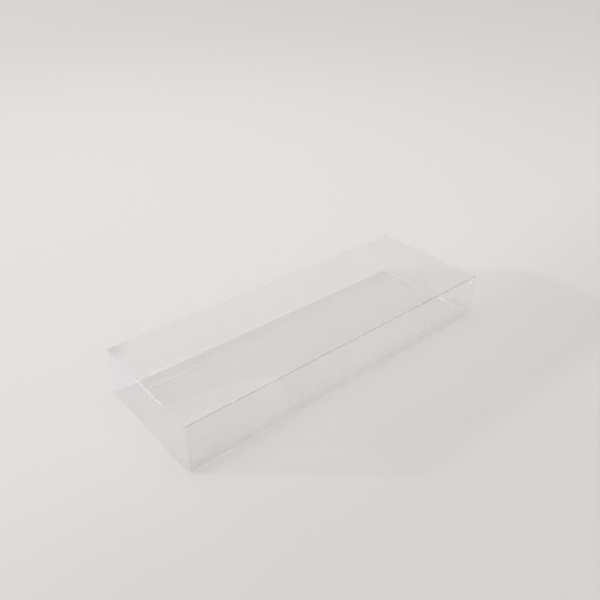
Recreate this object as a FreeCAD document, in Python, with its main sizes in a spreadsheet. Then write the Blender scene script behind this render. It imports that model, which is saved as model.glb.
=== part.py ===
"""Clear film carton, lying closed on its large face.

One creased sheet of film makes the body: base, front wall, top, back wall, a glue flap stuck down on
the base, and a dust flap at each end of both walls. A tuck-in closure hangs from the top at each end.

The origin is under the middle of the base. X runs along the carton, Y from the front wall to the
back wall, Z up. All sizes are millimetres.
"""
import FreeCAD, Part
import math
import os

import Sketcher

# Driving dimensions: name, value, what it measures.
SIZES = [
    ("length", 220.0, "outside, from end to end"),
    ("width", 80.0, "outside, from front wall to back wall"),
    ("height", 30.0, "outside, base to top"),
    ("film", 0.3, "thickness of the film"),
    ("crease_radius", 0.25, "inside radius of every crease"),
    ("layer_gap", 0.2, "clearance between layers of film that nest at the ends"),
    ("hinge_gap", 0.1, "set-back of each mitred edge from a closure's hinge line"),
    ("glue_flap", 11.0, "from the back wall's outer face to the glue flap's free edge"),
    ("seam_setback", 0.5, "from the glue flap's crease to the base's cut edge"),
    ("glue_end_setback", 5.0, "from the end of the carton to the glue flap, at its crease"),
    ("glue_end_taper", 3.0, "how much further the glue flap is set back at its free edge"),
    ("dust_flap", 30.0, "from a wall's outer face to its dust flap's free edge"),
    ("dust_foot_gap", 0.4, "clearance between a dust flap's foot and the tuck flap under it"),
    ("dust_head_gap", 0.3, "clearance between a dust flap's head and the top"),
    ("dust_corner", 6.0, "radius of a dust flap's two free corners"),
    ("closure_inset", 0.25, "from each wall's outer face to the closure's side edge"),
    ("tuck_flap", 14.0, "how far a tuck flap reaches in from the end of the carton"),
    ("tuck_inset", 1.5, "from each wall's outer face to the tuck flap's side edge"),
    ("tuck_corner", 9.0, "radius of a tuck flap's two free corners"),
]

# Derived places, as expressions on the sheet.
HALF_LENGTH = "(Sizes.length / 2)"
HALF_WIDTH = "(Sizes.width / 2)"
HEIGHT = "Sizes.height"
FILM = "Sizes.film"
INNER_RADIUS = "Sizes.crease_radius"
OUTER_RADIUS = "(Sizes.crease_radius + Sizes.film)"
INNER_HALF_WIDTH = "(Sizes.width / 2 - Sizes.film)"
CREASE_Y = f"({HALF_WIDTH} - {OUTER_RADIUS})"
SEAM_Y = f"({CREASE_Y} - Sizes.seam_setback)"
GLUE_EDGE_Y = f"({HALF_WIDTH} - Sizes.glue_flap)"
DUST_FACE_X = f"({HALF_LENGTH} - {FILM} - Sizes.layer_gap)"
WALL_END_X = f"({DUST_FACE_X} - {OUTER_RADIUS})"
DUST_FOOT_Z = f"(2 * {FILM} + Sizes.layer_gap + Sizes.dust_foot_gap)"
DUST_HEAD_Z = f"({HEIGHT} - {FILM} - Sizes.dust_head_gap)"
DUST_EDGE_Y = f"({HALF_WIDTH} - Sizes.dust_flap)"
TUCK_RADIUS = f"({HEIGHT} - {FILM} - Sizes.layer_gap)"
TUCK_CREASE_X = f"({HALF_LENGTH} - {OUTER_RADIUS})"
TUCK_TIP_X = f"({HALF_LENGTH} - Sizes.tuck_flap)"
TUCK_SIDE_Y = f"({HALF_WIDTH} - Sizes.tuck_inset)"

ORIGIN = (-1, 1)        # Sketcher's reference to the sketch's own origin
LEVEL_AXIS = -1         # and to its horizontal axis
START, END, CENTRE = 1, 2, 3
TOLERANCE = 1e-4

END_NAMES = {-1: "left", 1: "right"}        # the ends of the carton, by the sign of X
SIDE_NAMES = {-1: "front", 1: "back"}       # its walls, by the sign of Y
CLOSURES = [("right_end_flap", 0), ("left_end_flap", 180)]      # name, turn about Z in degrees


def make_sheet(doc):
    """The driving dimensions, one a row, each with its name as the cell's alias."""
    sheet = doc.addObject("Spreadsheet::Sheet", "Sizes")
    for row, (name, value, meaning) in enumerate(SIZES, start=1):
        sheet.set(f"A{row}", name)
        sheet.set(f"B{row}", str(value))
        sheet.set(f"C{row}", meaning)
        sheet.setAlias(f"B{row}", name)
    doc.recompute()
    return sheet


def value_of(doc, expression):
    """The present value of an expression on the sheet."""
    return float(doc.Sizes.evalExpression(expression))


def signed(sign, expression):
    """An expression, or its negative when the sign is -1."""
    return f"{sign} * {expression}"


def new_sketch(body, name, role, offset=None):
    """A sketch on one of the body's origin planes, raised along the plane's normal by an expression."""
    plane = next(item for item in body.Origin.OriginFeatures if item.Role == role)
    sketch = body.newObject("Sketcher::SketchObject", name)
    sketch.AttachmentSupport = [(plane, "")]
    sketch.MapMode = "FlatFace"
    if offset:
        sketch.setExpression("AttachmentOffset.Base.z", offset)
    return sketch


def bind(sketch, kind, references, expression):
    """A dimension in a sketch that follows an expression on the sheet."""
    value = value_of(sketch.Document, expression)
    index = sketch.addConstraint(Sketcher.Constraint(kind, *references, value))
    sketch.setExpression(f"Constraints[{index}]", expression)


def join(sketch, first, first_end, second, second_end):
    """Bring an end of one edge to an end of another."""
    sketch.addConstraint(Sketcher.Constraint("Coincident", first, first_end, second, second_end))


def straight_outline(sketch, corners):
    """A closed outline through corners that are pairs of expressions."""
    doc = sketch.Document
    points = [FreeCAD.Vector(value_of(doc, x), value_of(doc, y), 0) for x, y in corners]
    edges = []
    for point, following in zip(points, points[1:] + points[:1]):
        edges.append(sketch.addGeometry(Part.LineSegment(point, following)))
    for edge, following, (x, y) in zip(edges, edges[1:] + edges[:1], corners):
        join(sketch, edge, END, following, START)
        bind(sketch, "DistanceX", (*ORIGIN, edge, START), x)
        bind(sketch, "DistanceY", (*ORIGIN, edge, START), y)


def creased_outline(sketch, sides):
    """A closed outline of level and upright sides.

    Each side is ("level" or "upright", its offset from the origin, the radius of the corner after it);
    offset and radius are expressions, and a sharp corner has the radius None.
    """
    doc = sketch.Document
    count = len(sides)
    offsets = [value_of(doc, offset) for _, offset, _ in sides]
    radii = [value_of(doc, radius) if radius else 0.0 for _, _, radius in sides]

    corners = []
    for i, (direction, _, _) in enumerate(sides):
        following = offsets[(i + 1) % count]
        x, y = (following, offsets[i]) if direction == "level" else (offsets[i], following)
        corners.append(FreeCAD.Vector(x, y, 0))

    headings = [(corners[i] - corners[i - 1]).normalize() for i in range(count)]
    lines = []
    for i in range(count):
        start = corners[i - 1] + headings[i] * radii[i - 1]
        end = corners[i] - headings[i] * radii[i]
        lines.append(sketch.addGeometry(Part.LineSegment(start, end)))

    for i, (direction, offset, radius) in enumerate(sides):
        line, following = lines[i], lines[(i + 1) % count]
        kind, axis = ("Horizontal", "DistanceY") if direction == "level" else ("Vertical", "DistanceX")
        sketch.addConstraint(Sketcher.Constraint(kind, line))
        if offset == "0":
            sketch.addConstraint(Sketcher.Constraint("PointOnObject", line, START, LEVEL_AXIS))
        else:
            bind(sketch, axis, (*ORIGIN, line, START), offset)
        if radius is None:
            join(sketch, line, END, following, START)
        else:
            crease(sketch, line, following, corners[i], headings[i], headings[(i + 1) % count], radius)


def crease(sketch, line, following, corner, heading, turned, radius):
    """An arc tangent to two sides of an outline, where one heading turns into the next."""
    size = value_of(sketch.Document, radius)
    centre = corner - heading * size + turned * size
    left_turn = heading.cross(turned).z > 0
    spoke = -turned if left_turn else heading
    first = math.atan2(spoke.y, spoke.x)
    circle = Part.Circle(centre, FreeCAD.Vector(0, 0, 1), size)
    arc = sketch.addGeometry(Part.ArcOfCircle(circle, first, first + math.pi / 2))
    near, far = (START, END) if left_turn else (END, START)
    sketch.addConstraint(Sketcher.Constraint("Tangent", line, END, arc, near))
    sketch.addConstraint(Sketcher.Constraint("Tangent", arc, far, following, START))
    bind(sketch, "Radius", (arc,), radius)


def pad(body, name, sketch, length, symmetric=False):
    """Film grown from a sketch along its normal."""
    feature = body.newObject("PartDesign::Pad", name)
    feature.Profile = sketch
    feature.SideType = "Symmetric" if symmetric else "One side"
    feature.setExpression("Length", length)
    return finish_feature(body, feature)


def pocket_upwards(body, name, sketch, depth):
    """Film cut away above a sketch; it has to take something away."""
    before = body.Tip.Shape.Volume
    feature = body.newObject("PartDesign::Pocket", name)
    feature.Profile = sketch
    feature.Reversed = True
    feature.setExpression("Length", depth)
    finish_feature(body, feature)
    if feature.Shape.Volume > before - TOLERANCE:
        raise RuntimeError(f"{name} cuts nothing")
    return feature


def round_edges(body, name, edge_names, radius):
    """Rounded corners on named edges of the body as it stands."""
    base = body.Tip
    feature = body.newObject("PartDesign::Fillet", name)
    feature.Base = (base, edge_names)
    feature.setExpression("Radius", radius)
    return finish_feature(body, feature)


def finish_feature(body, feature):
    """Make a feature the body's last and work it out."""
    body.Tip = feature
    body.Document.recompute()
    return feature


def edges_where(body, test):
    """Names of the body's straight edges whose two end points satisfy a test."""
    names = []
    for number, edge in enumerate(body.Tip.Shape.Edges, start=1):
        straight = isinstance(edge.Curve, Part.Line)
        if straight and test(edge.Vertexes[0].Point, edge.Vertexes[-1].Point):
            names.append(f"Edge{number}")
    return names


def near(a, b):
    """Whether two lengths are the same."""
    return abs(a - b) < TOLERANCE


def make_wrap(body):
    """The tube of film round base, front, top and back, lapped and stuck at the glue flap."""
    sketch = new_sketch(body, "wrap_section", "YZ_Plane")
    creased_outline(sketch, [
        ("level", "0", None),
        ("upright", SEAM_Y, None),
        ("level", FILM, OUTER_RADIUS),
        ("upright", HALF_WIDTH, OUTER_RADIUS),
        ("level", HEIGHT, OUTER_RADIUS),
        ("upright", signed(-1, HALF_WIDTH), OUTER_RADIUS),
    ])
    creased_outline(sketch, [
        ("level", FILM, None),
        ("upright", GLUE_EDGE_Y, None),
        ("level", f"2 * {FILM}", INNER_RADIUS),
        ("upright", INNER_HALF_WIDTH, INNER_RADIUS),
        ("level", f"({HEIGHT} - {FILM})", INNER_RADIUS),
        ("upright", signed(-1, INNER_HALF_WIDTH), INNER_RADIUS),
    ])
    pad(body, "wrap", sketch, f"2 * {WALL_END_X}", symmetric=True)


def trim_glue_flap(body, end):
    """The glue flap stops short of one end of the carton, on a slant."""
    crease_x = f"({HALF_LENGTH} - Sizes.glue_end_setback)"
    free_x = f"({HALF_LENGTH} - Sizes.glue_end_setback - Sizes.glue_end_taper)"
    sketch = new_sketch(body, f"glue_flap_{END_NAMES[end]}_trim_outline", "XY_Plane", FILM)
    straight_outline(sketch, [
        (signed(end, crease_x), CREASE_Y),
        (signed(end, HALF_LENGTH), CREASE_Y),
        (signed(end, HALF_LENGTH), GLUE_EDGE_Y),
        (signed(end, free_x), GLUE_EDGE_Y),
    ])
    pocket_upwards(body, f"glue_flap_{END_NAMES[end]}_trim", sketch, f"2 * {FILM}")


def make_base_and_top(body):
    """The base reaches both ends of the carton; the top does too, and is mitred at the hinge lines."""
    sketch = new_sketch(body, "base_outline", "XY_Plane")
    straight_outline(sketch, [
        (signed(-1, HALF_LENGTH), signed(-1, CREASE_Y)),
        (HALF_LENGTH, signed(-1, CREASE_Y)),
        (HALF_LENGTH, SEAM_Y),
        (signed(-1, HALF_LENGTH), SEAM_Y),
    ])
    pad(body, "base", sketch, FILM)

    upper_x = f"({HALF_LENGTH} - Sizes.hinge_gap)"
    lower_x = f"({HALF_LENGTH} - Sizes.hinge_gap - {FILM})"
    lower_z = f"({HEIGHT} - {FILM})"
    sketch = new_sketch(body, "top_section", "XZ_Plane")
    straight_outline(sketch, [
        (signed(-1, lower_x), lower_z),
        (lower_x, lower_z),
        (upper_x, HEIGHT),
        (signed(-1, upper_x), HEIGHT),
    ])
    pad(body, "top", sketch, f"2 * {CREASE_Y}", symmetric=True)


def make_dust_flap(body, end, side):
    """A flap creased inward from one end of one wall, to stand just inside the closure."""
    name = f"dust_flap_{SIDE_NAMES[side]}_{END_NAMES[end]}"
    sketch = new_sketch(body, f"{name}_section", "XY_Plane", DUST_FOOT_Z)
    root_x = f"({WALL_END_X} - {OUTER_RADIUS})"
    inner_face_x = f"({DUST_FACE_X} - {FILM})"
    creased_outline(sketch, [
        ("level", signed(side, HALF_WIDTH), OUTER_RADIUS),
        ("upright", signed(end, DUST_FACE_X), None),
        ("level", signed(side, DUST_EDGE_Y), None),
        ("upright", signed(end, inner_face_x), INNER_RADIUS),
        ("level", signed(side, INNER_HALF_WIDTH), None),
        ("upright", signed(end, root_x), None),
    ])
    pad(body, name, sketch, f"{DUST_HEAD_Z} - {DUST_FOOT_Z}")


def round_dust_flaps(body):
    """Rounded corners at the head and foot of all four dust flaps' free edges."""
    doc = body.Document
    free_y = value_of(doc, DUST_EDGE_Y)
    film = value_of(doc, FILM)
    flap_x = value_of(doc, DUST_FACE_X) - film

    def is_corner(a, b):
        across_film = near(a.y, b.y) and near(a.z, b.z) and near(abs(a.x - b.x), film)
        return across_film and near(abs(a.y), free_y) and abs(a.x) > flap_x - TOLERANCE

    round_edges(body, "dust_flap_corners", edges_where(body, is_corner), "Sizes.dust_corner")


def make_body(doc):
    """The carton's body: one creased sheet of film."""
    body = doc.addObject("PartDesign::Body", "box_body")
    make_wrap(body)
    for end in END_NAMES:
        trim_glue_flap(body, end)
    make_base_and_top(body)
    for end in END_NAMES:
        for side in SIDE_NAMES:
            make_dust_flap(body, end, side)
    round_dust_flaps(body)
    return body


def closure_section(sketch):
    """A closure seen from the side: down from its mitred hinge edge, then in along the tuck flap.

    The tuck flap curves about the hinge line, which lets it swing out past the base.
    """
    doc = sketch.Document
    hinge = FreeCAD.Vector(value_of(doc, HALF_LENGTH), value_of(doc, HEIGHT), 0)
    film = value_of(doc, FILM)
    gap = value_of(doc, "Sizes.hinge_gap")
    reach = value_of(doc, f"(Sizes.tuck_flap + {FILM})")
    outer_radius = value_of(doc, TUCK_RADIUS)
    inner_radius = outer_radius - film
    down = -math.pi / 2
    tip = down - math.asin(reach / outer_radius)
    inner_foot = down - math.asin(film / inner_radius)

    def at(radius, angle):
        return hinge + FreeCAD.Vector(radius * math.cos(angle), radius * math.sin(angle), 0)

    def arc(radius, first, last):
        circle = Part.Circle(hinge, FreeCAD.Vector(0, 0, 1), radius)
        return sketch.addGeometry(Part.ArcOfCircle(circle, first, last))

    def line(start, end):
        return sketch.addGeometry(Part.LineSegment(start, end))

    head = hinge - FreeCAD.Vector(0, gap, 0)
    inner_head = head - FreeCAD.Vector(film, film, 0)
    outside = line(head, at(outer_radius, down))
    under = arc(outer_radius, tip, down)
    tip_edge = line(at(outer_radius, tip), at(inner_radius, tip))
    over = arc(inner_radius, tip, inner_foot)
    inside = line(at(inner_radius, inner_foot), inner_head)
    mitre = line(inner_head, head)

    join(sketch, outside, END, under, END)
    join(sketch, under, START, tip_edge, START)
    join(sketch, tip_edge, END, over, START)
    join(sketch, over, END, inside, START)
    join(sketch, inside, END, mitre, START)
    join(sketch, mitre, END, outside, START)
    join(sketch, under, CENTRE, over, CENTRE)
    sketch.addConstraint(Sketcher.Constraint("Vertical", outside))
    sketch.addConstraint(Sketcher.Constraint("Vertical", inside))
    sketch.addConstraint(Sketcher.Constraint("PointOnObject", under, CENTRE, tip_edge))
    bind(sketch, "DistanceX", (*ORIGIN, under, CENTRE), HALF_LENGTH)
    bind(sketch, "DistanceY", (*ORIGIN, under, CENTRE), HEIGHT)
    bind(sketch, "DistanceX", (*ORIGIN, outside, START), HALF_LENGTH)
    bind(sketch, "DistanceY", (outside, START, under, CENTRE), "Sizes.hinge_gap")
    bind(sketch, "DistanceX", (mitre, START, mitre, END), FILM)
    bind(sketch, "DistanceY", (mitre, START, mitre, END), FILM)
    bind(sketch, "Radius", (under,), TUCK_RADIUS)
    bind(sketch, "Radius", (over,), f"({TUCK_RADIUS} - {FILM})")
    bind(sketch, "DistanceX", (under, START, outside, END), f"(Sizes.tuck_flap + {FILM})")


def round_tuck_crease(body):
    """The crease between closure and tuck flap, rounded inside and out."""
    doc = body.Document
    outer_x = value_of(doc, HALF_LENGTH)
    inner_x = outer_x - value_of(doc, FILM)
    middle_z = value_of(doc, HEIGHT) / 2

    def runs_along_foot(a, b, x):
        return near(a.x, x) and near(b.x, x) and near(a.z, b.z) and a.z < middle_z

    outer = edges_where(body, lambda a, b: runs_along_foot(a, b, outer_x))
    round_edges(body, "tuck_crease_outside", outer, OUTER_RADIUS)
    inner = edges_where(body, lambda a, b: runs_along_foot(a, b, inner_x))
    round_edges(body, "tuck_crease_inside", inner, INNER_RADIUS)


def trim_tuck_flap(body):
    """The tuck flap is narrower than the closure and has rounded free corners."""
    beyond_x = f"({TUCK_TIP_X} - 2 * {FILM})"
    sketch = new_sketch(body, "tuck_flap_trim_outline", "XY_Plane")
    creased_outline(sketch, [
        ("upright", TUCK_CREASE_X, None),
        ("level", signed(-1, TUCK_SIDE_Y), "Sizes.tuck_corner"),
        ("upright", TUCK_TIP_X, "Sizes.tuck_corner"),
        ("level", TUCK_SIDE_Y, None),
        ("upright", TUCK_CREASE_X, None),
        ("level", HALF_WIDTH, None),
        ("upright", beyond_x, None),
        ("level", signed(-1, HALF_WIDTH), None),
    ])
    pocket_upwards(body, "tuck_flap_trim", sketch, HEIGHT)


def make_closure(doc, name, turn):
    """An end closure, built at the right-hand end and turned about Z to the end that it closes."""
    body = doc.addObject("PartDesign::Body", name)
    sketch = new_sketch(body, "closure_section", "XZ_Plane")
    closure_section(sketch)
    pad(body, "closure", sketch, "(Sizes.width - 2 * Sizes.closure_inset)", symmetric=True)
    round_tuck_crease(body)
    trim_tuck_flap(body)
    body.Placement.Rotation = FreeCAD.Rotation(FreeCAD.Vector(0, 0, 1), turn)
    return body


def check(doc, parts):
    """Every object of the document worked out, and every sub-part is one sound solid."""
    for item in doc.Objects:
        if "Invalid" in item.State or "Error" in item.State:
            raise RuntimeError(f"{item.Label} failed: {item.State}")
    for part in parts:
        shape = part.Shape
        if shape.isNull() or not shape.isValid() or len(shape.Solids) != 1:
            raise RuntimeError(f"{part.Label} isn't one sound solid")


def main():
    doc = FreeCAD.newDocument("clear_box")
    make_sheet(doc)
    parts = [make_body(doc)]
    for name, turn in CLOSURES:
        parts.append(make_closure(doc, name, turn))
    doc.recompute()
    check(doc, parts)
    os.makedirs("parts", exist_ok=True)
    for part in parts:
        part.Shape.exportStep(f"parts/{part.Label}.step")


main()
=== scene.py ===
"""Clear film carton: film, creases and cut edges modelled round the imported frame, in metres."""

import math

import bmesh
import bpy
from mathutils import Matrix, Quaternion, Vector, noise


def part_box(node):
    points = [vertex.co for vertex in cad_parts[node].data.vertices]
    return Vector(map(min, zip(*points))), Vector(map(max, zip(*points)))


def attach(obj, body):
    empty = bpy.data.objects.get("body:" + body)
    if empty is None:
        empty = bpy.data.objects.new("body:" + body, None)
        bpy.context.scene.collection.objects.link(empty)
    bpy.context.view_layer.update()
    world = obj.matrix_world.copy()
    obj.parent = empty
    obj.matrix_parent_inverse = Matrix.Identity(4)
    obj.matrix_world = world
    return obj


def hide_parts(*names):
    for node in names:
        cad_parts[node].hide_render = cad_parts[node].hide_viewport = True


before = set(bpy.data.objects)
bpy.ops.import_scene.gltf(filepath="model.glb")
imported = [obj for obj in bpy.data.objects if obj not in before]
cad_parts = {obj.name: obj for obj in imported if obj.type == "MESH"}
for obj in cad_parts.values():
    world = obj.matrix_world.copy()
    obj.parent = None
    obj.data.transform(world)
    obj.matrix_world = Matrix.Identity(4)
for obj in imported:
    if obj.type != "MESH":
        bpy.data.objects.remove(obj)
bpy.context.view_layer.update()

MM = 0.001

# ---- Sizes: the box and its flaps come from the frame, the film's details repeat part.py's,
# ---- and only the glue gap is this script's own, since part.py has one solid there ----

_, BODY_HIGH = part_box("box_body")
FLAP_LOW, FLAP_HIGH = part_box("right_end_flap")
HALF_LENGTH = BODY_HIGH.x
HALF_WIDTH = BODY_HIGH.y
HEIGHT = BODY_HIGH.z

FILM = 0.3 * MM                     # thickness of the film
CREASE_INSIDE = 0.25 * MM           # inside radius of a crease
LAYER_GAP = 0.2 * MM                # between film that is tucked in and what it lies behind
GLUE_FLAP = 11.0 * MM               # width of the glue flap, from the outside of the back wall
SEAM_SETBACK = 0.5 * MM             # the base's back edge stops this short of the crease over it
GLUE_END_SETBACK = 5.0 * MM         # each end of the glue flap, from the end of the box
GLUE_END_TAPER = 3.0 * MM           # how much further in each end is at the free edge
DUST_FLAP = 30.0 * MM               # reach of a dust flap, from the outside of its wall
DUST_FOOT_GAP = 0.4 * MM            # under a dust flap
DUST_HEAD_GAP = 0.3 * MM            # over a dust flap
DUST_CORNER = 6.0 * MM              # radius of a dust flap's free corners
TUCK_INSET = 1.5 * MM               # side of a tuck flap, from the outside of the wall
TUCK_CORNER = 9.0 * MM              # radius of a tuck flap's free corners
GLUE_GAP = 0.03 * MM                # glue between the base and the glue flap

FOLD = CREASE_INSIDE + FILM / 2     # radius of a crease at the middle of the film
OUTER = CREASE_INSIDE + FILM        # radius of a crease on its outside
HINGE_GAP = HEIGHT - FLAP_HIGH.z
CLOSURE_HALF_WIDTH = FLAP_HIGH.y
TUCK_REACH = FLAP_HIGH.x - FLAP_LOW.x
DUST_FACE = HALF_LENGTH - FILM - LAYER_GAP
WALL_END = DUST_FACE - OUTER
DUST_FOOT = 2 * FILM + LAYER_GAP + DUST_FOOT_GAP
DUST_HEAD = HEIGHT - FILM - DUST_HEAD_GAP
CREASE_Y = HALF_WIDTH - OUTER
SEAM_Y = CREASE_Y - SEAM_SETBACK
GLUE_EDGE_Y = HALF_WIDTH - GLUE_FLAP
TUCK_RADIUS = HEIGHT - FILM - LAYER_GAP
TUCK_SIDE = HALF_WIDTH - TUCK_INSET

# ---- A sheet of film, built on its middle surface and then given its thickness ----

# Material slots of a sheet of film, in the order of FILMS.
(CLEAR, FRONT, FOOT, BACK, FLAP, PANEL, FAR_PANEL, TUCK, CREASED, DUST_CREASE, GLUE_CREASE, CUT,
 SCORED, SCORE_SIDE, HINGED, GLUED, GLUE_EDGE) = range(17)
SNAP = 0.002 * MM                   # points are rounded to this, and points that agree are one
SHARP_ANGLE = 35                    # degrees between faces from which an edge is shaded sharp


class Sheet:
    """Patches of film that share the points along their common edges."""

    def __init__(self):
        self.points = []
        self.known = {}
        self.faces = []
        self.slots = []
        self.mitres = {}

    def vertex(self, point):
        """The number of a point, which is added if it is new."""
        key = tuple(round(value / SNAP) for value in point)
        if key not in self.known:
            self.known[key] = len(self.points)
            self.points.append(Vector(point))
        return self.known[key]

    def patch(self, rows, slot=CLEAR):
        """A grid of points, given as rows of equal length; slot is one, or a list by strip."""
        strips = slot if isinstance(slot, list) else [slot] * (len(rows) - 1)
        grid = [[self.vertex(point) for point in row] for row in rows]
        for row, following, strip in zip(grid, grid[1:], strips):
            for i in range(len(row) - 1):
                corners = [row[i], row[i + 1], following[i + 1], following[i]]
                distinct = list(dict.fromkeys(corners))
                if len(distinct) > 2:
                    self.faces.append(distinct)
                    self.slots.append(strip)
        return grid

    def mitre(self, indices, outward):
        """Cut an edge of the sheet on a slant, further out on the outer face."""
        for index in indices:
            self.mitres[index] = Vector(outward)

    def solid(self, name, up):
        """The sheet as a closed solid mesh; up is the outward direction of its highest face."""
        flat = bmesh.new()
        verts = [flat.verts.new(point) for point in self.points]
        slot_of = {}
        for face, slot in zip(self.faces, self.slots):
            made = flat.faces.new([verts[i] for i in face])
            slot_of[made] = slot
        bmesh.ops.recalc_face_normals(flat, faces=flat.faces[:])
        flat.normal_update()

        def height(face):
            return face.calc_center_median().dot(up) + face.calc_area()

        highest = max(flat.faces, key=height)
        if highest.normal.dot(up) < 0:
            bmesh.ops.reverse_faces(flat, faces=flat.faces[:])
            flat.normal_update()
        flat.verts.index_update()

        thick = bmesh.new()
        outer, inner = [], []
        for vert in flat.verts:
            half = vert.normal * (FILM / 2)
            slant = self.mitres.get(vert.index, Vector()) * (FILM / 2)
            outer.append(thick.verts.new(vert.co + half + slant))
            inner.append(thick.verts.new(vert.co - half - slant))
        for face in flat.faces:
            loop = [vert.index for vert in face.verts]
            for layer, order in ((outer, loop), (inner, loop[::-1])):
                made = thick.faces.new([layer[i] for i in order])
                made.material_index = slot_of[face]
        for edge in flat.edges:
            if edge.is_boundary:
                loop = edge.link_loops[0]
                a, b = loop.vert.index, loop.link_loop_next.vert.index
                made = thick.faces.new([outer[b], outer[a], inner[a], inner[b]])
                made.material_index = CUT
        mesh = bpy.data.meshes.new(name)
        thick.to_mesh(mesh)
        thick.free()
        flat.free()
        mesh.polygons.foreach_set("use_smooth", [True] * len(mesh.polygons))
        mesh.set_sharp_from_angle(angle=math.radians(SHARP_ANGLE))
        piece = bpy.data.objects.new(name, mesh)
        bpy.context.scene.collection.objects.link(piece)
        return piece


def steps(start, end, count):
    """Evenly spaced values from start to end, both included."""
    return [start + (end - start) * i / count for i in range(count + 1)]


def arc(centre, radius, first, last, count):
    """Points of an arc in a plane, by angle in degrees."""
    angles = [math.radians(angle) for angle in steps(first, last, count)]
    return [(centre[0] + radius * math.cos(a), centre[1] + radius * math.sin(a)) for a in angles]


def crown(u, v):
    """A panel's bulge: nothing at its edges, one in the middle."""
    return (1 - (2 * u - 1) ** 2) * (1 - (2 * v - 1) ** 2)


def share(value, low, high):
    """Where a value lies between two others: 0 at the low one, 1 at the high one."""
    return (value - low) / (high - low)


# Divisions of the sheets.
FOLD_STEPS = 6                      # round a crease
ROUND_STEPS = 8                     # round a flap's free corner
LENGTH_STEPS = 96
WALL_STEPS = 6
BASE_STEPS = 24
TOP_STEPS = 28
GLUE_STEPS = 6
DUST_STEPS = 10
CLOSURE_STEPS = 12
TUCK_STEPS = 10
TUCK_MIDDLE_STEPS = 14              # across a tuck flap, between its corners


def along_length():
    """Stations along the box from end to end of its walls, with the glue flap's ends among them."""
    glue_end = HALF_LENGTH - GLUE_END_SETBACK
    between = (WALL_END + glue_end) / 2
    return [-WALL_END, -between] + steps(-glue_end, glue_end, LENGTH_STEPS) + [between, WALL_END]


def corner_insets(radius):
    """How far a rounded corner's points lie in from its side, from the side on."""
    return [radius * (1 - math.cos(math.radians(angle))) for angle in steps(0, 90, ROUND_STEPS)]


def corner_cut(radius, from_edge):
    """How much a rounded corner takes off a flap's reach, at a distance in from the flap's side."""
    return radius - math.sqrt(max(radius**2 - (radius - from_edge) ** 2, 0))


def wall_levels(low):
    """Heights on a wall, with those of the dust flaps' rounded corners among them."""
    insets = corner_insets(DUST_CORNER)
    foot = [DUST_FOOT + inset for inset in insets]
    head = [DUST_HEAD - inset for inset in reversed(insets)]
    middle = steps(foot[-1], head[0], WALL_STEPS)[1:-1]
    return [low] + foot + middle + head + [HEIGHT - OUTER]


# ---- The box body ----

SCORE_SIDE_WIDTH = 0.5 * MM         # bruised film by the scored crease, with painted glints
GLUE_EDGE_WIDTH = 0.8 * MM          # cut edge strip, whitened as a painted highlight on the left
FOOT_HEIGHT = 10.0 * MM             # top of the band along the front wall's foot
TOP_SAG = 0.45 * MM
WALL_BOW = 0.2 * MM
CLOSURE_BOW = 0.06 * MM
RIPPLE = 0.05 * MM
RIPPLE_LENGTH = 45 * MM
RIPPLE_WIDTH = 30 * MM
BASE_SEED, TOP_SEED, WALL_SEED = 3.0, 5.0, 7.0
LIFT_RISE = 4                       # how fast the base's lift grows from its edges, before it is full
DUST_SPRING = 1.4 * MM              # how far a dust flap's free edge leans into the box
SPRING_BY_END = 0.5 * MM            # more at the right end, less at the left
SPRING_BY_SIDE = 0.35 * MM          # more at the front, less at the back


def ripple(x, y, seed):
    """A slow unevenness of the film, the same for layers that lie on each other."""
    return RIPPLE * noise.noise(Vector((x / RIPPLE_LENGTH, y / RIPPLE_WIDTH, seed)))


def base_point(x, y, z):
    """A point of the base or of the glue flap on it: the film lifts a little off the table."""
    u = share(x, -HALF_LENGTH, HALF_LENGTH)
    v = share(y, -HALF_WIDTH, HALF_WIDTH)
    lift = (RIPPLE + ripple(x, y, BASE_SEED)) * min(crown(u, v) * LIFT_RISE, 1)
    return (x, y, z + max(lift, 0))


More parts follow.
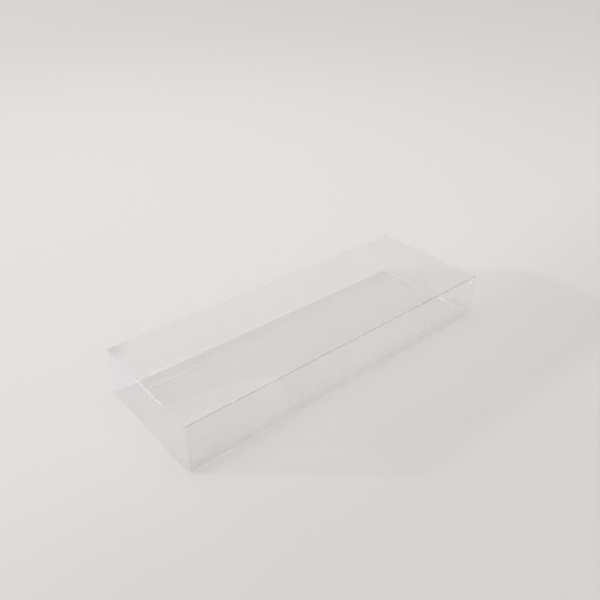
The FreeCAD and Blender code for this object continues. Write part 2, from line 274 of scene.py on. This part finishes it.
def make_body():
    """The folded blank: base, front wall, top, back wall, glue flap and four dust flaps."""
    sheet = Sheet()
    stations = along_length()
    ends = [HALF_LENGTH, (HALF_LENGTH + WALL_END) / 2]
    long_stations = [-x for x in ends] + stations + ends[::-1]

    base_ys = steps(SEAM_Y, -CREASE_Y, BASE_STEPS)
    sheet.patch([[base_point(x, y, FILM / 2) for x in long_stations] for y in base_ys])

    def fold(points, slot=CREASED):
        sheet.patch([[(x, y, z) for x in stations] for y, z in points], slot)

    fold(arc((-CREASE_Y, OUTER), FOLD, 270, 180, FOLD_STEPS))

    def wall(side, levels, slots):
        face_y = side * (HALF_WIDTH - FILM / 2)
        rows = []
        for z in levels:
            v = share(z, levels[0], levels[-1])
            row = []
            for x in stations:
                u = share(x, -WALL_END, WALL_END)
                inward = (WALL_BOW + ripple(x, z, WALL_SEED + side)) * crown(u, v)
                row.append((x, face_y - side * inward, z))
            rows.append(row)
        sheet.patch(rows, slots)

    def front_slot(z):
        if z < FOOT_HEIGHT:
            return FOOT
        return SCORE_SIDE if z >= HEIGHT - OUTER - SCORE_SIDE_WIDTH else FRONT

    front = wall_levels(OUTER)
    wall(-1, front, [front_slot(z) for z in front[:-1]])
    scored = [SCORE_SIDE] + [SCORED] * (FOLD_STEPS - 2) + [SCORE_SIDE]
    fold(arc((-CREASE_Y, HEIGHT - OUTER), FOLD, 180, 90, FOLD_STEPS), scored)

    top_end = HALF_LENGTH - HINGE_GAP - FILM / 2
    crease_start = HALF_LENGTH - OUTER
    top_ends = [top_end, crease_start, (WALL_END + crease_start) / 2]
    top_stations = [-x for x in top_ends] + stations + top_ends[::-1]
    rows = []
    for y in [-CREASE_Y] + steps(-CREASE_Y + SCORE_SIDE_WIDTH, CREASE_Y, TOP_STEPS):
        v = share(y, -CREASE_Y, CREASE_Y)
        row = []
        for x in top_stations:
            u = share(x, -top_end, top_end)
            sag = (TOP_SAG + 2 * ripple(x, y, TOP_SEED)) * crown(u, v)
            row.append((x, y, HEIGHT - FILM / 2 - sag))
        rows.append(row)
    sheet.patch([row[1:-1] for row in rows], [SCORE_SIDE] + [CLEAR] * TOP_STEPS)
    left = sheet.patch([row[:2] for row in rows], HINGED)
    right = sheet.patch([row[-2:] for row in rows], HINGED)
    sheet.mitre([row[0] for row in left], (-1, 0, 0))
    sheet.mitre([row[-1] for row in right], (1, 0, 0))

    fold(arc((CREASE_Y, HEIGHT - OUTER), FOLD, 90, 0, FOLD_STEPS))
    flap_z = FILM + GLUE_GAP
    wall(1, wall_levels(flap_z + OUTER)[::-1], BACK)
    fold(arc((CREASE_Y, flap_z + OUTER), FOLD, 0, -90, FOLD_STEPS), GLUE_CREASE)

    glue_stations = stations[2:-2]
    rows = []
    for y in steps(CREASE_Y, GLUE_EDGE_Y + GLUE_EDGE_WIDTH, GLUE_STEPS) + [GLUE_EDGE_Y]:
        narrowing = 1 - share(y, CREASE_Y, GLUE_EDGE_Y) * GLUE_END_TAPER / glue_stations[-1]
        rows.append([base_point(x * narrowing, y, flap_z + FILM / 2) for x in glue_stations])
    rows[0] = [(x, CREASE_Y, flap_z + FILM / 2) for x in glue_stations]
    sheet.patch(rows, [GLUED] * GLUE_STEPS + [GLUE_EDGE])

    for end in (-1, 1):
        for side in (-1, 1):
            make_dust_flap(sheet, end, side, flap_z)
    return sheet.solid("box_body_film", Vector((0, 0, 1)))


def make_dust_flap(sheet, end, side, flap_z):
    """A flap creased in from the end of a wall, standing off the closure towards its free edge."""
    low = OUTER if side < 0 else flap_z + OUTER
    levels = wall_levels(low)[1:-1]
    spring = DUST_SPRING + SPRING_BY_END * end - SPRING_BY_SIDE * side
    folded = arc((0, 0), FOLD, 90, 0, FOLD_STEPS)
    columns = [[(end * (WALL_END + x), side * (CREASE_Y + y), z) for z in levels] for x, y in folded]
    sheet.patch(columns, DUST_CREASE)

    face_x = WALL_END + FOLD
    length = DUST_FLAP - OUTER
    columns = []
    for q in steps(0, 1, DUST_STEPS):
        column = []
        for z in levels:
            from_edge = min(z - DUST_FOOT, DUST_HEAD - z, DUST_CORNER)
            reach = q * (length - corner_cut(DUST_CORNER, from_edge))
            inward = spring * (reach / length) ** 2
            column.append((end * (face_x - inward), side * (CREASE_Y - reach), z))
        columns.append(column)
    sheet.patch(columns, FLAP)


# ---- The end closures ----

def make_closure(name, end):
    """A closure from its mitred hinge edge down, and its tuck flap, curved about the hinge line."""
    sheet = Sheet()
    corner = [-(TUCK_SIDE - inset) for inset in corner_insets(TUCK_CORNER)]
    middle = steps(corner[-1], -corner[-1], TUCK_MIDDLE_STEPS)[1:-1]
    tuck_ys = corner + middle + [-y for y in reversed(corner)]
    ys = [-CLOSURE_HALF_WIDTH] + tuck_ys + [CLOSURE_HALF_WIDTH]

    face_x = HALF_LENGTH - FILM / 2
    radius = TUCK_RADIUS - FILM / 2
    fold_x = face_x - FOLD
    fold_drop = math.sqrt((radius - FOLD) ** 2 - (HALF_LENGTH - fold_x) ** 2)
    fold_z = HEIGHT - fold_drop
    foot_angle = math.atan2(-fold_drop, fold_x - HALF_LENGTH)
    head_z = HEIGHT - HINGE_GAP - FILM / 2

    def panel(levels, slot):
        rows = []
        for z in levels:
            v = share(z, fold_z, head_z)
            inward = [CLOSURE_BOW * crown(share(y, ys[0], ys[-1]), v) for y in ys]
            rows.append([(end * (face_x - bow), y, z) for y, bow in zip(ys, inward)])
        return sheet.patch(rows, slot)

    crease_z = HEIGHT - OUTER
    hinge = panel([head_z, crease_z], HINGED)
    sheet.mitre(hinge[0], (0, 0, 1))
    panel(steps(crease_z, fold_z, CLOSURE_STEPS), PANEL if end < 0 else FAR_PANEL)
    bend = arc((fold_x, fold_z), FOLD, 0, math.degrees(foot_angle), FOLD_STEPS)
    sheet.patch([[(end * x, y, z) for y in ys] for x, z in bend], CREASED)

    rows = []
    for q in steps(0, 1, TUCK_STEPS):
        row = []
        for y in tuck_ys:
            from_side = min(TUCK_SIDE - abs(y), TUCK_CORNER)
            reach = TUCK_REACH - corner_cut(TUCK_CORNER, from_side)
            last = -math.pi / 2 - math.asin(reach / radius)
            angle = foot_angle + (last - foot_angle) * q
            x = HALF_LENGTH + radius * math.cos(angle)
            row.append((end * x, y, HEIGHT + radius * math.sin(angle)))
        rows.append(row)
    sheet.patch(rows, TUCK)
    return sheet.solid(name, Vector((end, 0, 0)))


# ---- Materials ----

FILM_IOR = 1.5
FALL_OFF = 5                        # the power in Schlick's rule for the gloss of a clear face
FILM_WHITE = (0.99, 0.975, 0.985, 1)
LENS_ROUGHNESS = 0.05


def new_material(name):
    """A material with an empty node tree."""
    material = bpy.data.materials.new(name)
    material.use_nodes = True
    nodes = material.node_tree.nodes
    nodes.clear()
    return material, nodes, material.node_tree.links


def add(nodes, kind, **settings):
    """A new node with its settings."""
    node = nodes.new(kind)
    for name, value in settings.items():
        setattr(node, name, value)
    return node


def glancing(nodes, links, shine):
    """Share of light that a film face throws back, by the angle at which the light meets it."""
    slope = add(nodes, "ShaderNodeLayerWeight")
    slope.inputs["Blend"].default_value = 0.5
    power = add(nodes, "ShaderNodeMath", operation="POWER")
    power.inputs[1].default_value = FALL_OFF
    links.new(slope.outputs["Facing"], power.inputs[0])
    spread = add(nodes, "ShaderNodeMapRange")
    spread.inputs["To Min"].default_value = shine * ((FILM_IOR - 1) / (FILM_IOR + 1)) ** 2
    spread.inputs["To Max"].default_value = shine
    links.new(power.outputs["Value"], spread.inputs["Value"])
    return spread.outputs["Result"]


def film(name, veil, gloss=0.05, clear=1.0, tint=(1, 1, 1), shine=1.0, glow=0.4, bent=None):
    """Clear film: a see-through pane with a white veil in it and a gloss on it.

    veil, clear and bent are numbers or functions that build a value socket.
    veil is the share of white, and glow the share of its light that comes out on the far side.
    clear is the light that each face of the pane lets through, and tint is its colour.
    gloss is the roughness of the gloss, and shine scales it: low where film lies on film or glue.
    bent is the share that bends light like a lens and so shades what lies behind."""
    material, nodes, links = new_material(name)

    def feed(value, socket):
        if callable(value):
            links.new(value(nodes, links), socket)
        else:
            socket.default_value = value

    through = add(nodes, "ShaderNodeBsdfTransparent")
    if callable(clear):
        tinted = add(nodes, "ShaderNodeVectorMath", operation="SCALE")
        tinted.inputs[0].default_value = tint
        links.new(clear(nodes, links), tinted.inputs["Scale"])
        links.new(tinted.outputs["Vector"], through.inputs["Color"])
    else:
        through.inputs["Color"].default_value = (*[clear * channel for channel in tint], 1)
    front = add(nodes, "ShaderNodeBsdfDiffuse")
    front.inputs["Color"].default_value = FILM_WHITE
    back = add(nodes, "ShaderNodeBsdfTranslucent")
    back.inputs["Color"].default_value = FILM_WHITE
    milk = add(nodes, "ShaderNodeMixShader")
    milk.inputs["Fac"].default_value = glow
    links.new(front.outputs["BSDF"], milk.inputs[1])
    links.new(back.outputs["BSDF"], milk.inputs[2])
    body = add(nodes, "ShaderNodeMixShader")
    feed(veil, body.inputs["Fac"])
    links.new(through.outputs["BSDF"], body.inputs[1])
    links.new(milk.outputs["Shader"], body.inputs[2])
    mirror = add(nodes, "ShaderNodeBsdfGlossy")
    mirror.inputs["Color"].default_value = (1, 1, 1, 1)
    mirror.inputs["Roughness"].default_value = gloss
    surface = add(nodes, "ShaderNodeMixShader")
    links.new(glancing(nodes, links, shine), surface.inputs["Fac"])
    links.new(body.outputs["Shader"], surface.inputs[1])
    links.new(mirror.outputs["BSDF"], surface.inputs[2])
    last = surface
    if bent is not None:
        lens = add(nodes, "ShaderNodeBsdfGlass")
        lens.inputs["IOR"].default_value = FILM_IOR
        lens.inputs["Roughness"].default_value = LENS_ROUGHNESS
        last = add(nodes, "ShaderNodeMixShader")
        feed(bent, last.inputs["Fac"])
        links.new(surface.outputs["Shader"], last.inputs[1])
        links.new(lens.outputs["BSDF"], last.inputs[2])
    output = add(nodes, "ShaderNodeOutputMaterial")
    links.new(last.outputs["Shader"], output.inputs["Surface"])
    return material


def ranged(nodes, links, value, low, high, out_low, out_high):
    """A smooth step from one output to another as a value goes from low to high."""
    ramp = add(nodes, "ShaderNodeMapRange", interpolation_type="SMOOTHSTEP")
    ends = {"From Min": low, "From Max": high, "To Min": out_low, "To Max": out_high}
    for socket, number in ends.items():
        ramp.inputs[socket].default_value = number
    links.new(value, ramp.inputs["Value"])
    return ramp.outputs["Result"]


def object_axes(nodes, links):
    """The place on the piece, whole and split into its axes."""
    place = add(nodes, "ShaderNodeTexCoord")
    split = add(nodes, "ShaderNodeSeparateXYZ")
    links.new(place.outputs["Object"], split.inputs["Vector"])
    return place.outputs["Object"], split.outputs


def speckle(scale, low, high, out_low, out_high):
    """A value that goes from one to another where a fine noise passes from low to high."""
    def build(nodes, links):
        place, _ = object_axes(nodes, links)
        grain = add(nodes, "ShaderNodeTexNoise")
        grain.inputs["Scale"].default_value = scale
        grain.inputs["Detail"].default_value = 1
        links.new(place, grain.inputs["Vector"])
        return ranged(nodes, links, grain.outputs["Fac"], low, high, out_low, out_high)
    return build


def multiplied(first, second):
    """The product of two values."""
    def build(nodes, links):
        product = add(nodes, "ShaderNodeMath", operation="MULTIPLY")
        links.new(first(nodes, links), product.inputs[0])
        links.new(second(nodes, links), product.inputs[1])
        return product.outputs["Value"]
    return build


def along(axis, low, high, out_low, out_high):
    """A value that changes once along an axis of the box."""
    def build(nodes, links):
        _, axes = object_axes(nodes, links)
        return ranged(nodes, links, axes[axis], low, high, out_low, out_high)
    return build


def about(axis, level, reach, at, beyond):
    """A value that changes from at to beyond with the distance from a level on an axis."""
    def build(nodes, links):
        _, axes = object_axes(nodes, links)
        apart = add(nodes, "ShaderNodeMath", operation="SUBTRACT")
        apart.inputs[1].default_value = level
        links.new(axes[axis], apart.inputs[0])
        either = add(nodes, "ShaderNodeMath", operation="ABSOLUTE")
        links.new(apart.outputs["Value"], either.inputs[0])
        return ranged(nodes, links, either.outputs["Value"], 0, reach, at, beyond)
    return build


def near(point, reach, at, beyond):
    """A value that changes from at to beyond with the distance from a point of the box."""
    def build(nodes, links):
        place, _ = object_axes(nodes, links)
        apart = add(nodes, "ShaderNodeVectorMath", operation="DISTANCE")
        apart.inputs[1].default_value = point
        links.new(place, apart.inputs[0])
        return ranged(nodes, links, apart.outputs["Value"], 0, reach, at, beyond)
    return build


def spot(point, reach, white):
    """A white mark at a point of the box, fading out at its reach."""
    return near(point, reach, white, 0.0)


def whitened(veil, *marks):
    """A veil with white marks on it."""
    def build(nodes, links):
        total = veil(nodes, links)
        for mark in marks:
            larger = add(nodes, "ShaderNodeMath", operation="MAXIMUM")
            links.new(total, larger.inputs[0])
            links.new(mark(nodes, links), larger.inputs[1])
            total = larger.outputs["Value"]
        return total
    return build


FLOOR_COLOUR = (0.82, 0.7985, 0.78)
FLOOR_PAINTED_SHADOW = along("Y", -0.119, 0.043, 0.909, 1.0)


def floor_material():
    """Pale matt paper with a painted soft shadow: darker on the near side of the box."""
    material, nodes, links = new_material("floor_paper")
    tone = add(nodes, "ShaderNodeVectorMath", operation="SCALE")
    tone.inputs[0].default_value = FLOOR_COLOUR
    links.new(FLOOR_PAINTED_SHADOW(nodes, links), tone.inputs["Scale"])
    surface = add(nodes, "ShaderNodeBsdfDiffuse")
    links.new(tone.outputs["Vector"], surface.inputs["Color"])
    output = add(nodes, "ShaderNodeOutputMaterial")
    links.new(surface.outputs["BSDF"], output.inputs["Surface"])
    return material


# ---- The films, matched to the photo's greys ----

HAZE = 0.045                        # share of white in the film, on average
# Light that each face lets through, by colour: the photo's walls look a little mauve and its base
# a little yellow.
WALL_TINT = (0.994, 0.9875, 1)
END_TINT = (0.993, 0.989, 1)
FAR_END_TINT = (0.997, 0.992, 1)
BASE_TINT = (1, 1, 0.997)
SEAM_TINT = (0.998, 0.995, 1)

BACK_LEFT = (-HALF_LENGTH, HALF_WIDTH, HEIGHT)
# Where the painted highlight on the left hinge crease is whitest.
LEFT_HINGE = (-HALF_LENGTH, -0.007, HEIGHT)
# At the foot of the front right dust flap, where its free corner begins.
FREE_CORNER = (DUST_FACE, -HALF_WIDTH + 0.78 * DUST_FLAP, DUST_FOOT)
GLUE_EDGE_MIDDLE = (0.0, GLUE_EDGE_Y, 0.0)


def haze(low, high):
    """A faint cloudiness of the film, uneven over a few centimetres."""
    return speckle(30, 0.2, 0.8, low, high)


WALL_HAZE = haze(HAZE * 0.6, HAZE * 1.4)
FRONT_CLEAR = along("X", -0.11, 0.0, 0.98, 1.0)
# Painted shade along the front wall's foot, darkest in its middle; near its left end it bends light.
FOOT_PAINTED_SHADE = about("Z", FOOT_HEIGHT * 0.3, FOOT_HEIGHT * 0.7, 0.978, 1.0)
FOOT_BENT = multiplied(along("X", -0.11, 0.0, 0.2, 0.0), along("Z", 0.0, 0.005, 1.0, 0.0))
# Painted highlight on the glue flap's crease and edge, on the left where the window lights them.
LEFT_PAINTED_HIGHLIGHT = multiplied(along("X", -0.098, -0.086, 0.05, 1.0), along("X", -0.09, -0.035, 1.0, 0.08))
# Painted highlight at the back left top corner.
BACK_LEFT_PAINTED_GLINT = spot((-HALF_LENGTH + 0.007, HALF_WIDTH, HEIGHT), 0.005, 1.0)
# Painted glint in white specks at the front right top corner.
FRONT_RIGHT_PAINTED_GLINT = multiplied(
    speckle(700, 0.35, 0.5, 0.2, 1.0),
    spot((HALF_LENGTH - 0.0045, -HALF_WIDTH, HEIGHT - 0.002), 0.0042, 0.95))
# Painted highlights at the front right dust flap's free corner and along its foot.
FLAP_CORNER_PAINTED_GLINT = spot(FREE_CORNER, 0.0035, 0.95)
FLAP_FOOT_PAINTED_GLINT = multiplied(
    along("Z", DUST_FOOT, DUST_FOOT + 0.002, 1.0, 0.0),
    near(FREE_CORNER, 0.012, 0.5, 0.0))
# Painted highlight along the glue flap's cut rim, on the left.
GLUE_RIM_PAINTED_HIGHLIGHT = multiplied(
    LEFT_PAINTED_HIGHLIGHT,
    multiplied(near(GLUE_EDGE_MIDDLE, 0.11, 3.0, 0.0), along("Z", 0.001, 0.002, 0.95, 0.0)))

FILMS = [
    film("clear_film", WALL_HAZE,
         clear=multiplied(near(BACK_LEFT, 0.016, 0.95, 0.999), along("Z", 0.0, 0.001, 0.996, 1.0)),
         tint=BASE_TINT, shine=0.6),
    # The front wall, with the painted glint at its right top corner.
    film("front_wall", whitened(WALL_HAZE, FRONT_RIGHT_PAINTED_GLINT), clear=FRONT_CLEAR, shine=0.6),
    # Painted shade along the front wall's foot, which bends light near its left end.
    film("front_foot", speckle(150, 0.4, 0.6, HAZE * 0.5, HAZE * 1.6),
         clear=multiplied(FRONT_CLEAR, FOOT_PAINTED_SHADE), tint=SEAM_TINT, shine=0.6, bent=FOOT_BENT),
    film("back_wall", WALL_HAZE, clear=near(BACK_LEFT, 0.016, 0.95, 0.996),
         tint=WALL_TINT, shine=0.6),
    # Dust flaps, with the painted highlights at the front right one's corner and foot.
    film("flap_film", whitened(haze(HAZE * 0.2, HAZE * 0.5), FLAP_CORNER_PAINTED_GLINT, FLAP_FOOT_PAINTED_GLINT),
         shine=0.3, glow=0.1),
    # Painted shade: the left end panel lets less light through along its foot.
    film("end_panel", multiplied(haze(0.06, 0.09), along("Y", -0.04, 0.0, 0.4, 1.0)),
         clear=multiplied(near(BACK_LEFT, 0.05, 0.975, 0.997), along("Z", 0.0005, 0.006, 0.975, 1.0)),
         tint=END_TINT, shine=0.6, glow=0.1),
    film("far_end_panel", haze(0.01, 0.02), clear=0.98, tint=FAR_END_TINT, shine=0.6),
    film("tuck_flap", haze(0.003, 0.012), shine=0.05),
    # Creases, with the painted highlight at the back left top corner.
    film("creased_film", whitened(speckle(200, 0.3, 0.7, 0.05, 0.2), BACK_LEFT_PAINTED_GLINT),
         gloss=0.25, shine=0.15, glow=0.3),
    film("dust_flap_crease", 0.03, gloss=0.25, clear=speckle(300, 0.3, 0.6, 0.96, 0.99),
         shine=0.1, glow=0.7),
    # Painted highlight on the glue flap's crease, on the left.
    film("glue_crease", multiplied(speckle(260, 0.35, 0.55, 0.2, 0.8), LEFT_PAINTED_HIGHLIGHT),
         gloss=0.25, glow=0.9),
    # Cut edges whitened in specks, and painted highlights on the glue flap's rim and a dust flap's
    # corner.
    film("cut_film_edge",
         whitened(speckle(200, 0.3, 0.7, 0.03, 0.06), GLUE_RIM_PAINTED_HIGHLIGHT, FLAP_CORNER_PAINTED_GLINT),
         gloss=0.3, shine=0.15, glow=0.5),
    # The scored crease: painted shade in dark dashes for the light its sharp fold turns aside, and
    # painted glints in white specks.
    film("scored_crease", speckle(420, 0.64, 0.68, 0.0, 0.35), gloss=0.3,
         clear=speckle(260, 0.3, 0.4, 0.90, 0.79), glow=0.6),
    film("scored_crease_side", speckle(300, 0.61, 0.66, HAZE, 0.95), gloss=0.15, glow=0.6),
    # Painted highlight on the hinge creases, whitest near the left one's middle.
    film("hinge_crease",
         multiplied(speckle(520, 0.44, 0.5, 0.3, 1.0), near(LEFT_HINGE, 0.024, 1.8, 0.03)),
         gloss=0.3, shine=0.2, glow=0.6),
    film("glued_film", HAZE * 0.8, gloss=0.2, tint=SEAM_TINT, shine=0.1),
    # Painted highlight on the strip at the glue flap's cut edge, on the left.
    film("glue_edge", multiplied(speckle(90, 0.3, 0.6, 0.4, 0.6), LEFT_PAINTED_HIGHLIGHT),
         gloss=0.3, shine=0.1, glow=0.5),
]


# ---- Put together ----

def dress(piece, body, *nodes):
    """A piece gets its films, rides on its body and stands for its CAD nodes."""
    for material in FILMS:
        piece.data.materials.append(material)
    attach(piece, body)
    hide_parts(*nodes)


dress(make_body(), "carton", "box_body")
dress(make_closure("right_end_flap_film", 1), "right_closure", "right_end_flap")
dress(make_closure("left_end_flap_film", -1), "left_closure", "left_end_flap")


# ---- Floor, light and camera ----

FLOOR_REACH = 6.0
FLOOR_DEPTH = 0.05 * MM             # the floor lies this much under the base
LIGHT_COLOUR = (1.0, 0.992, 0.985)
WINDOW_HEIGHT = math.radians(15)    # angle of the window over the floor
WINDOW_X, WINDOW_Y = -0.76, 0.65    # its direction along the floor
WINDOW_DISTANCE = 7
ROOM_MIDDLE = 0.69
ROOM_SWING = 0.25

# The camera fitted to the photo, with lengths as shares of the box's own.
CAMERA_AZIMUTH = math.radians(-40.44)
CAMERA_ELEVATION = math.radians(31.94)
CAMERA_ROLL = math.radians(0.34)
CAMERA_TARGET = Vector((0.0475, 0.0894, 0.1027))
CAMERA_DISTANCE = 1.8243
LENS = 38.3
SENSOR_WIDTH = 36


def make_floor():
    """A wide plain sheet that the box lies on."""
    mesh = bpy.data.meshes.new("floor")
    signs = [(-1, -1), (1, -1), (1, 1), (-1, 1)]
    corners = [(x * FLOOR_REACH, y * FLOOR_REACH, -FLOOR_DEPTH) for x, y in signs]
    mesh.from_pydata(corners, [], [(0, 1, 2, 3)])
    floor = bpy.data.objects.new("floor", mesh)
    bpy.context.scene.collection.objects.link(floor)
    mesh.materials.append(floor_material())


def make_lamp(name, place, size, power):
    """A square soft lamp at a place, turned to the box."""
    light = bpy.data.lights.new(name, "AREA")
    light.shape = "SQUARE"
    light.size = size
    light.energy = power
    light.color = LIGHT_COLOUR
    lamp = bpy.data.objects.new(name, light)
    bpy.context.scene.collection.objects.link(lamp)
    lamp.location = place
    lamp.rotation_euler = (-place).to_track_quat("-Z", "Y").to_euler()


def make_world():
    """The room: lighter on the camera's side than beyond the box."""
    world = bpy.data.worlds.new("room")
    world.use_nodes = True
    nodes, links = world.node_tree.nodes, world.node_tree.links
    place = add(nodes, "ShaderNodeTexCoord")
    split = add(nodes, "ShaderNodeSeparateXYZ")
    links.new(place.outputs["Generated"], split.inputs["Vector"])
    level = add(nodes, "ShaderNodeMapRange")
    near_side, far_side = ROOM_MIDDLE + ROOM_SWING, ROOM_MIDDLE - ROOM_SWING
    ends = {"From Min": -1, "From Max": 1, "To Min": near_side, "To Max": far_side}
    for socket, number in ends.items():
        level.inputs[socket].default_value = number
    links.new(split.outputs["Y"], level.inputs["Value"])
    background = nodes["Background"]
    background.inputs["Color"].default_value = (*LIGHT_COLOUR, 1)
    links.new(level.outputs["Result"], background.inputs["Strength"])
    bpy.context.scene.world = world


def make_camera():
    """The camera that sees the box as the photo does."""
    length = 2 * HALF_LENGTH
    flat = math.cos(CAMERA_ELEVATION)
    back = Vector((math.sin(CAMERA_AZIMUTH) * flat, -math.cos(CAMERA_AZIMUTH) * flat,
                   math.sin(CAMERA_ELEVATION)))
    data = bpy.data.cameras.new("camera")
    data.sensor_width = SENSOR_WIDTH
    data.lens = LENS
    data.clip_start = 0.01
    camera = bpy.data.objects.new("camera", data)
    camera.location = CAMERA_TARGET * length + back * CAMERA_DISTANCE * length
    turn = (-back).to_track_quat("-Z", "Y") @ Quaternion((0, 0, 1), CAMERA_ROLL)
    camera.rotation_euler = turn.to_euler()
    bpy.context.scene.collection.objects.link(camera)
    bpy.context.scene.camera = camera


make_floor()
window = Vector((WINDOW_X * math.cos(WINDOW_HEIGHT), WINDOW_Y * math.cos(WINDOW_HEIGHT),
                 math.sin(WINDOW_HEIGHT)))
make_lamp("window", window * WINDOW_DISTANCE, size=0.35, power=228)
make_lamp("ceiling", Vector((0.03, 0.30, 0.80)), size=0.8, power=1.17)
make_world()
make_camera()

scene = bpy.context.scene
scene.view_settings.view_transform = "Standard"
scene.cycles.use_denoising = True
scene.cycles.max_bounces = 24
scene.cycles.transmission_bounces = 24
scene.cycles.transparent_max_bounces = 32
scene.cycles.caustics_refractive = False
